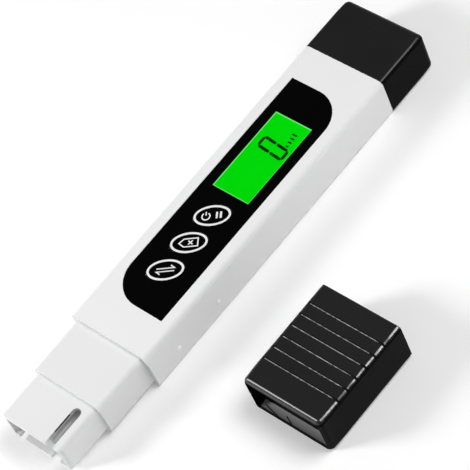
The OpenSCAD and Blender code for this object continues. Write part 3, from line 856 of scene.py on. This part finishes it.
def on_end(edge, end_x, low, high):
    """Whether an edge runs along the outline of the end at end_x."""
    a, b = edge.verts[0].co, edge.verts[1].co
    at_end = max(abs(a.x - end_x), abs(b.x - end_x)) < END_NEAR
    mid = (a + b) / 2
    outside = min(mid.y - low.y, high.y - mid.y, mid.z - low.z, high.z - mid.z)
    return at_end and outside < END_MARGIN


def rounded_copy(node, edge, segments, ends):
    """Mesh of a node with its sharp edges rounded; ends gives (x, radius) of soft ends."""
    shape = bmesh.new()
    shape.from_mesh(frame["nodes"][node].data)
    bmesh.ops.remove_doubles(shape, verts=shape.verts, dist=SAME_POINT)
    bmesh.ops.dissolve_limit(
        shape, angle_limit=SAME_PLANE, verts=shape.verts, edges=shape.edges)
    bmesh.ops.recalc_face_normals(shape, faces=shape.faces)
    low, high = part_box(node)
    for end_x, radius in ends:
        if radius > BALL_FROM:
            moved = soften_end(shape, low, high, end_x, radius)
            print(node, "skin points moved:", moved)
        else:
            sharp = [e for e in shape.edges if is_sharp(e) and on_end(e, end_x, low, high)]
            bevel(shape, sharp, radius, END_SEGMENTS)
    bevel(shape, [e for e in shape.edges if is_sharp(e)], edge, segments)
    for face in shape.faces:
        face.smooth = True
    for e in shape.edges:
        e.smooth = not is_sharp(e)
    return as_mesh(node + "_shape", shape)


def weighted(obj):
    """Applies face-weighted normals to a piece."""
    modifier = obj.modifiers.new("normals", "WEIGHTED_NORMAL")
    modifier.keep_sharp = True
    graph = bpy.context.evaluated_depsgraph_get()
    mesh = bpy.data.meshes.new_from_object(obj.evaluated_get(graph))
    obj.modifiers.clear()
    obj.data = mesh
    return obj


bodies = frame["record"]["behaviour"]["bodies"]
body_of = {node: body for body, members in bodies.items() for node in members}


def dress(name, node, material, edge, segments=3, ends=()):
    """A finished piece that stands for one node of the frame."""
    piece = weighted(link(name, rounded_copy(node, edge, segments, ends)))
    paint(piece, material)
    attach(piece, body_of[node])
    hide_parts(node)
    return piece


def add_piece(name, mesh, material, body):
    """A thin piece of its own, such as a print, that rides on a body."""
    piece = paint(link(name, mesh), material)
    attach(piece, body)


print("bodies:", sorted(bodies))

# %% [markdown]
# ## The outer shells
# The sleeve and the probe end are soft-edged white mouldings, and the caps have crisp
# black edges. The bevels follow that: wider on white, narrow on the grooved cap, and
# very fine on the film, which is only a few tenths of a millimetre thick. The battery
# cap's end and the loose cap's mouth get their ball corners here.

# %% Shells
SOFT_END = 2.0 * MM
CLOSED_END = 0.4 * MM

cap_end_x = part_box("battery_cap")[1].x
sleeve = dress("sleeve_shell", "body_sleeve", white_plastic, 0.16 * MM)
dress("probe_shell", "probe_base", probe_white, 0.2 * MM)
dress(
    "battery_cap_shell", "battery_cap", black_plastic, 0.16 * MM,
    ends=[(cap_end_x, SOFT_END)])
loose_cap = dress(
    "probe_cap_shell", "probe_cap", black_grip, 0.1 * MM,
    ends=[(cap_high.x, CLOSED_END), (cap_low.x, SOFT_END)])
dress("panel_film", "graphic_overlay", film_black, 0.05 * MM, 2)
dress("display_lens", "display_window", lens_clear, 0.1 * MM, 2)
print("sleeve faces:", len(sleeve.data.polygons))
print("loose cap faces:", len(loose_cap.data.polygons))

# %% [markdown]
# Two snap nubs on each side hold the probe end and the inner frame in the sleeve. Their
# outer faces are slightly domed and fill their holes, and their white is painted paler
# than the sleeve's as a painted highlight, so they show as two small bright dots on the
# meter's side. A slice of a ball would do, but a stack of rings that shrink to a point
# lets us choose the height and the width of a dome apart.

# %% Snap nub faces
NUB_Z = 6.3 * MM
NUB_R = 0.85 * MM
NUB_DOME = 0.5 * MM
NUB_SUNK = 0.06 * MM
DOME_RINGS = 6
DOME_SIDES = 24
PROBE_NUB_IN_SLEEVE = 11.55 * MM
FRAME_NUB_IN_FRAME = 14.4 * MM


def dome(shape, centre, outwards):
    """Adds one dome on a side wall to a shape, as rings from its rim to its top."""
    around = [2 * math.pi * k / DOME_SIDES for k in range(DOME_SIDES)]
    loops = []
    for i in range(DOME_RINGS):
        angle = math.pi / 2 * i / DOME_RINGS
        r, h = NUB_R * math.cos(angle), NUB_DOME * math.sin(angle)
        loops.append([
            shape.verts.new((
                centre.x + r * math.cos(a), centre.y + outwards * h,
                centre.z + r * math.sin(a)))
            for a in around])
    top = shape.verts.new((centre.x, centre.y + outwards * NUB_DOME, centre.z))
    for k in range(DOME_SIDES):
        j = (k + 1) % DOME_SIDES
        for lower, upper in zip(loops, loops[1:]):
            shape.faces.new((lower[k], lower[j], upper[j], upper[k]))
        shape.faces.new((loops[-1][k], loops[-1][j], top))


def nub_faces(name, node, nub_x):
    """A pair of domes, one on each side of the sleeve."""
    shape = bmesh.new()
    low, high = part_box("body_sleeve")
    for side_y, outwards in ((low.y, -1), (high.y, 1)):
        dome(shape, Vector((nub_x, side_y - outwards * NUB_SUNK, NUB_Z)), outwards)
    bmesh.ops.recalc_face_normals(shape, faces=shape.faces)
    for face in shape.faces:
        face.smooth = True
    add_piece(name, as_mesh(name, shape), nub_highlight_white, body_of[node])


probe_nub_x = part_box("body_sleeve")[0].x + PROBE_NUB_IN_SLEEVE
frame_nub_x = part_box("inner_frame")[0].x + FRAME_NUB_IN_FRAME
nub_faces("probe_nub_faces", "probe_base", probe_nub_x)
nub_faces("frame_nub_faces", "inner_frame", frame_nub_x)
print("nub pairs lie", round((frame_nub_x - probe_nub_x) / MM, 2), "mm apart")

# %% [markdown]
# ## What is inside
# The frame, the cells and the electrodes come into view when a cap is off, so they get
# the same treatment. The small parts on the board keep their own solids and only take a
# finish.

# %% Inner pieces
dress("inner_frame_shell", "inner_frame", frame_white, 0.12 * MM)
dress("left_cell_can", "left_cell", left_steel, 0.15 * MM)
dress("right_cell_can", "right_cell", right_steel, 0.15 * MM)
dress("positive_strip", "positive_contact", spring_brass, 0.04 * MM, 2)
dress("negative_strip", "negative_contact", spring_brass, 0.04 * MM, 2)
dress("electrode_pins", "electrodes", electrode_metal, 0.05 * MM, 2)
dress("sensor_tube", "temperature_sensor", sensor_steel, 0.05 * MM, 2)

kept = {
    "lcd_glass": glass_green,
    "lcd_bezel": holder_plastic,
    "backlight_guide": guide_frost,
    "backlight_leds": led_amber,
    "zebra_strips": contact_pink,
    "circuit_board": board_green,
    "controller_chip": chip_black,
    "crystal": plated_metal,
    "board_components": ceramic_tan,
    "board_screws": plated_metal,
    "tact_switches": switch_plastic,
    "mode_plunger": plunger_plastic,
    "clear_plunger": plunger_plastic,
    "power_plunger": plunger_plastic,
    "probe_potting": potting_black,
    "sensor_leads": spring_brass,
    "bridge_contact": spring_brass,
}
for node, material in kept.items():
    paint(frame["nodes"][node], material)
print("nodes that keep their own solid:", len(kept))

# %% [markdown]
# ## Keys and their printing
# Each key is an oval part of the film, with a white ring printed just inside its edge
# and a small sign in the middle. Flat marks like these are easiest to build as ribbons:
# a list of points, made into a strip of even width, given the thickness of ink. Where a
# line turns, both sides of the strip are mitred. A line that comes back to its first
# point is closed.

# %% Ribbons
INK = 0.02 * MM
SAME_END = 1e-9
LONGEST_MITRE = 0.4


def flat_mesh(name, loops, z, height):
    """Mesh of flat strips and outlines: each loop is a list of (x, y) points of one face."""
    shape = bmesh.new()
    for loop in loops:
        top = [shape.verts.new((x, y, z + height)) for x, y in loop]
        bottom = [shape.verts.new((x, y, z)) for x, y in loop]
        shape.faces.new(top)
        shape.faces.new(bottom[::-1])
        for i in range(len(loop)):
            j = (i + 1) % len(loop)
            shape.faces.new((top[j], top[i], bottom[i], bottom[j]))
    bmesh.ops.recalc_face_normals(shape, faces=shape.faces)
    return as_mesh(name, shape)


def ribbon(points, width):
    """Quads of a strip of that width along a line of points, mitred at its corners."""
    line = [Vector(p) for p in points]
    closed = (line[0] - line[-1]).length < SAME_END
    if closed:
        line = line[:-1]
    n = len(line)
    left, right = [], []
    for i, p in enumerate(line):
        before = line[i - 1] if closed or i > 0 else None
        after = line[(i + 1) % n] if closed or i < n - 1 else None
        a = (p - before).normalized() if before is not None else (after - p).normalized()
        b = (after - p).normalized() if after is not None else a
        side = Vector((-(a + b).y, (a + b).x)).normalized()
        reach = width / 2 / max(LONGEST_MITRE, side.dot(Vector((-a.y, a.x))))
        left.append(p + side * reach)
        right.append(p - side * reach)
    last = n if closed else n - 1
    return [(left[i], left[(i + 1) % n], right[(i + 1) % n], right[i]) for i in range(last)]


print("the ink is", INK / MM, "mm thick")

# %% [markdown]
# The signs say what the keys do without a word: a ring with a stroke and two bars for
# power and hold, a pointed tag with a cross for clear, two opposite arrows for mode.
# They are drawn in millimetres in the key's own axes, with x along the oval.

# %% The three signs
STROKE = 0.42
PAUSE_STROKE = 0.65
ARC_START, ARC_TURN, ARC_STEPS = 125, 290, 28


def strokes(width, *lines):
    """Quads of several lines of one width."""
    return [quad for line in lines for quad in ribbon(line, width)]


def power_and_hold():
    angles = [math.radians(ARC_START + ARC_TURN * i / ARC_STEPS) for i in range(ARC_STEPS + 1)]
    ring = [(-2.0 + 1.3 * math.cos(a), -0.1 + 1.3 * math.sin(a)) for a in angles]
    pause = strokes(PAUSE_STROKE, [(1.5, -1.2), (1.5, 1.2)], [(2.8, -1.2), (2.8, 1.2)])
    return strokes(STROKE, ring, [(-2.0, 0.2), (-2.0, 1.6)]) + pause


def clear_tag():
    tag = [(-3.2, 0.0), (-1.6, 1.45), (2.9, 1.45), (2.9, -1.45), (-1.6, -1.45), (-3.2, 0.0)]
    return strokes(
        STROKE, tag, [(-0.2, -0.7), (1.2, 0.7)],
        [(-0.2, 0.7), (0.35, 0.15)], [(0.65, -0.15), (1.2, -0.7)])


def mode_arrows():
    return strokes(
        STROKE, [(-2.9, 0.55), (2.9, 0.55), (1.7, 1.55)],
        [(2.9, -0.55), (-2.9, -0.55), (-1.7, -1.55)])


print("quads in the signs:", len(power_and_hold()), len(clear_tag()), len(mode_arrows()))

# %% [markdown]
# The ring is a ribbon along the points of an ellipse. All three keys lean by the same 54
# degrees, so that the signs stand upright for a hand that holds the meter aslant.

# %% Build keys and prints
KEY_LEAN = math.radians(-54)
RING_A = 5.68
RING_B = 3.41
RING_W = 0.74
RING_POINTS = 72


def on_key(quads, centre):
    """Turns and moves flat quads from millimetres in a key's own axes to the frame."""
    turn = Matrix.Rotation(KEY_LEAN, 2)
    return [[centre.xy + turn @ (Vector(p) * MM) for p in quad] for quad in quads]


def printed_key(node, sign):
    """The key's own pad and, on it, its ring and sign in ink."""
    dress(node + "_pad", node, film_black, 0.05 * MM, 2)
    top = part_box(node)[1].z
    angles = [math.radians(360 * i / RING_POINTS) for i in range(RING_POINTS)]
    oval = [(RING_A * math.cos(a), RING_B * math.sin(a)) for a in angles]
    quads = on_key(ribbon(oval + oval[:1], RING_W) + sign(), middle(node))
    name = node + "_print"
    mesh = flat_mesh(name, quads, top - INK / 2, INK)
    add_piece(name, mesh, ink_white, body_of[node])


printed_key("power_key", power_and_hold)
printed_key("clear_key", clear_tag)
printed_key("mode_key", mode_arrows)

# %% [markdown]
# ## The reading
# The display shows one digit, a zero, built from segments as such displays are: six
# strips with pointed ends, leaning a little. Small level bars stand beside it. They
# could be part of the glass's finish, but as thin solids just above it they keep sharp
# edges and seem to float, as a display's dark segments do. Their sizes are in
# millimetres, and their places are counted from the window's middle.

# %% Segments
DIGIT_W = 4.7
DIGIT_H = 11.4
SEGMENT_T = 1.05
SEGMENT_GAP = 0.07
SLANT = 0.09
DIGIT_AT = (5.0, 0.3)
BARS_AT = (7.75, -3.8)
BARS = 4
BAR_PITCH = 1.5
BAR_W = 0.6
BAR_FIRST = 1.0
BAR_RISE = 0.35


def segment(a, b):
    """Outline of one segment between two points, with pointed ends."""
    start, end = Vector(a), Vector(b)
    along = (end - start).normalized()
    across = Vector((-along.y, along.x)) * SEGMENT_T / 2
    start = start + along * SEGMENT_GAP
    end = end - along * SEGMENT_GAP
    tip = along * SEGMENT_T / 2
    one_side = [start, start + tip + across, end - tip + across]
    return one_side + [end, end - tip - across, start + tip - across]


def zero_outlines():
    """The six dark segments of a zero, leaning by the display's slant."""
    w, h = DIGIT_W / 2 - SEGMENT_T / 2, DIGIT_H / 2 - SEGMENT_T / 2
    ends = [(-w, h), (w, h), (w, 0), (w, -h), (-w, -h), (-w, 0)]
    outlines = [segment(a, b) for a, b in zip(ends, ends[1:] + ends[:1])]
    return [[(p.x + SLANT * p.y, p.y) for p in outline] for outline in outlines]


def level_bars():
    """Short bars of rising height beside the digit."""
    places = [(BAR_PITCH * i, BAR_FIRST + BAR_RISE * i) for i in range(BARS)]
    return strokes(BAR_W, *[[(x, 0), (x, height)] for x, height in places])


def on_glass(loops, at):
    """Moves flat outlines in millimetres to a place counted from the window's middle."""
    centre = middle("display_window")
    return [[(centre.x + (p[0] + at[0]) * MM, centre.y + (p[1] + at[1]) * MM) for p in loop]
            for loop in loops]


glass_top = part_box("lcd_glass")[1].z
marks = on_glass(zero_outlines(), DIGIT_AT) + on_glass(level_bars(), BARS_AT)
reading_mesh = flat_mesh("display_reading", marks, glass_top + INK / 2, INK)
add_piece("display_reading", reading_mesh, segment_ink, "meter")
print("dark marks on the display:", len(marks))

# %% [markdown]
# Light also leaves a display at its edges: the milky holder round the glass and the rim
# of the clear lens both pick up the green. To trace such light through the lens takes
# long and stays noisy, so two thin glowing frames stand for it. One closes the gap
# between glass and lens, and one is the bright line along the lens's own rim.

# %% The glowing edge of the display
RIM_GLOW = (0.14, 0.74, 0.17)
LENS_LIP = 1.2 * MM
SURROUND_IN, SURROUND_W = LENS_LIP + 0.16 * MM, 0.3 * MM
RIM_IN, RIM_W = LENS_LIP + 0.18 * MM, 0.34 * MM


def glowing_rim():
    """Pale green edge light, a little uneven along the rim."""
    finish = Finish("glowing_rim", Emission_Strength=1.0, Specular_IOR_Level=0.2)
    patch = finish.noise(finish.place(), 3 * MM)
    finish.set(Base_Color=finish.tint(patch, (0.05, 0.2, 0.05), (0.06, 0.25, 0.06)))
    finish.set(Emission_Color=finish.tint(patch, dimmed(RIM_GLOW, 0.8), RIM_GLOW))
    finish.set(Roughness=0.4 + 0.1 * patch)
    return finish.material


def window_frame(name, inset, width, z, height, material):
    """Closed frame just inside the outline of the display's lens."""
    low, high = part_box("display_window")
    x0, x1 = low.x + inset, high.x - inset
    y0, y1 = low.y + inset, high.y - inset
    outline = [(x0, y0), (x1, y0), (x1, y1), (x0, y1), (x0, y0)]
    mesh = flat_mesh(name, ribbon(outline, width), z, height)
    add_piece(name, mesh, material, "meter")


rim_green = glowing_rim()
lens_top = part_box("display_window")[1].z
gap = lens_top - glass_top - 2 * INK
window_frame("display_surround", SURROUND_IN, SURROUND_W, glass_top + INK, gap, glass_green)
window_frame("display_rim", RIM_IN, RIM_W, lens_top - INK / 2, INK, rim_green)
print("the gap over the glass is", round(gap / MM, 2), "mm")

# %% [markdown]
# ## The studio
# The picture has a white ground with soft grey shadows. A matt floor near white does
# that when the light on it is about one. The world is paler at the horizon than
# overhead, so black gloss stays black on top and still gets a soft sheen at its edges.

# %% Floor and world
FLOOR_HALF = 3.0
FLOOR_BELOW = 0.02 * MM


def pale_floor():
    """Matt white floor; what the eye sees gets a little more, so its lit part is white."""
    finish = Finish("pale_floor", Specular_IOR_Level=0.0)
    slow = finish.noise(finish.place(), 300 * MM)
    finish.set(Base_Color=finish.tint(slow, grey(0.90), grey(0.92)))
    finish.set(Roughness=0.9 + 0.05 * slow)
    seen = finish.node("LightPath", out="Is Camera Ray")
    for way in ("Is Glossy Ray", "Is Transmission Ray"):
        seen = seen.most(finish.node("LightPath", out=way))
    finish.set(Emission_Color=finish.tint(seen, grey(0), grey(1)), Emission_Strength=0.15)
    return finish.material


square = [(x * FLOOR_HALF, y * FLOOR_HALF) for x, y in ((-1, -1), (1, -1), (1, 1), (-1, 1))]
floor_mesh = bpy.data.meshes.new("floor")
floor_mesh.from_pydata([(x, y, -FLOOR_BELOW) for x, y in square], [], [(0, 1, 2, 3)])
floor = link("floor", floor_mesh)
paint(floor, pale_floor())

world = bpy.data.worlds.new("studio")
bpy.context.scene.world = world
world.use_nodes = True
sky = Nodes(world.node_tree, "Background")
height = sky.axes(sky.node("TexCoord", out="Generated"))[2]
sky.set(Color=sky.node(
    "ValToRGB", {"stops": [(0.05, grey(0.80)), (0.65, grey(0.10))]}, {"Fac": height}))
print("the floor is", 2 * FLOOR_HALF, "m wide")

# %% [markdown]
# ## Lamps
# One large lamp could light the whole picture, but its shadows would be too soft, and
# the black edges would have nothing to mirror. So each task has its own lamp. A large
# soft one on the camera's side gives the meter's side its even grey. A small one on the
# other side throws the shadows, and is hidden from gloss, where it would sparkle. Two
# long strips do the reverse: they show only as thin lines of light along black edges.

# %% Place the lamps
def soft_lamp(name, direction, distance, size_x, size_y, power):
    """A rectangular lamp that faces the meter."""
    data = bpy.data.lights.new(name, "AREA")
    data.shape = "RECTANGLE"
    data.size, data.size_y = size_x, size_y
    data.energy = power
    lamp = bpy.data.objects.new(name, data)
    lamp.matrix_world = aim(Vector(direction).normalized() * distance, Vector((0, 0, 0)))
    bpy.context.scene.collection.objects.link(lamp)
    return lamp


def glint_lamp(name, direction, size_x, size_y, power):
    """A strip that shows only as a line of light in glossy edges."""
    lamp = soft_lamp(name, direction, 1.0, size_x, size_y, power)
    lamp.visible_diffuse = False
    return lamp


key_lamp = soft_lamp("key_lamp", (0.26, -0.32, 0.70), 0.80, 0.45, 0.45, power=3.8)
shadow_lamp = soft_lamp("shadow_lamp", (-0.66, 0.50, 0.50), 0.62, 0.16, 0.16, power=2.2)
shadow_lamp.visible_glossy = False
edge_lamp = glint_lamp("edge_lamp", (0.30, -0.60, 0.75), 0.5, 0.12, power=0.9)
mouth_lamp = glint_lamp("mouth_lamp", (-0.35, 0.55, 0.76), 0.3, 0.6, power=2.2)
print("lamps:", [lamp.name for lamp in (key_lamp, shadow_lamp, edge_lamp, mouth_lamp)])

# %% [markdown] ## Finish The colours are shown as they are, without a film look.

# %% Close
bpy.context.scene.view_settings.view_transform = "Standard"
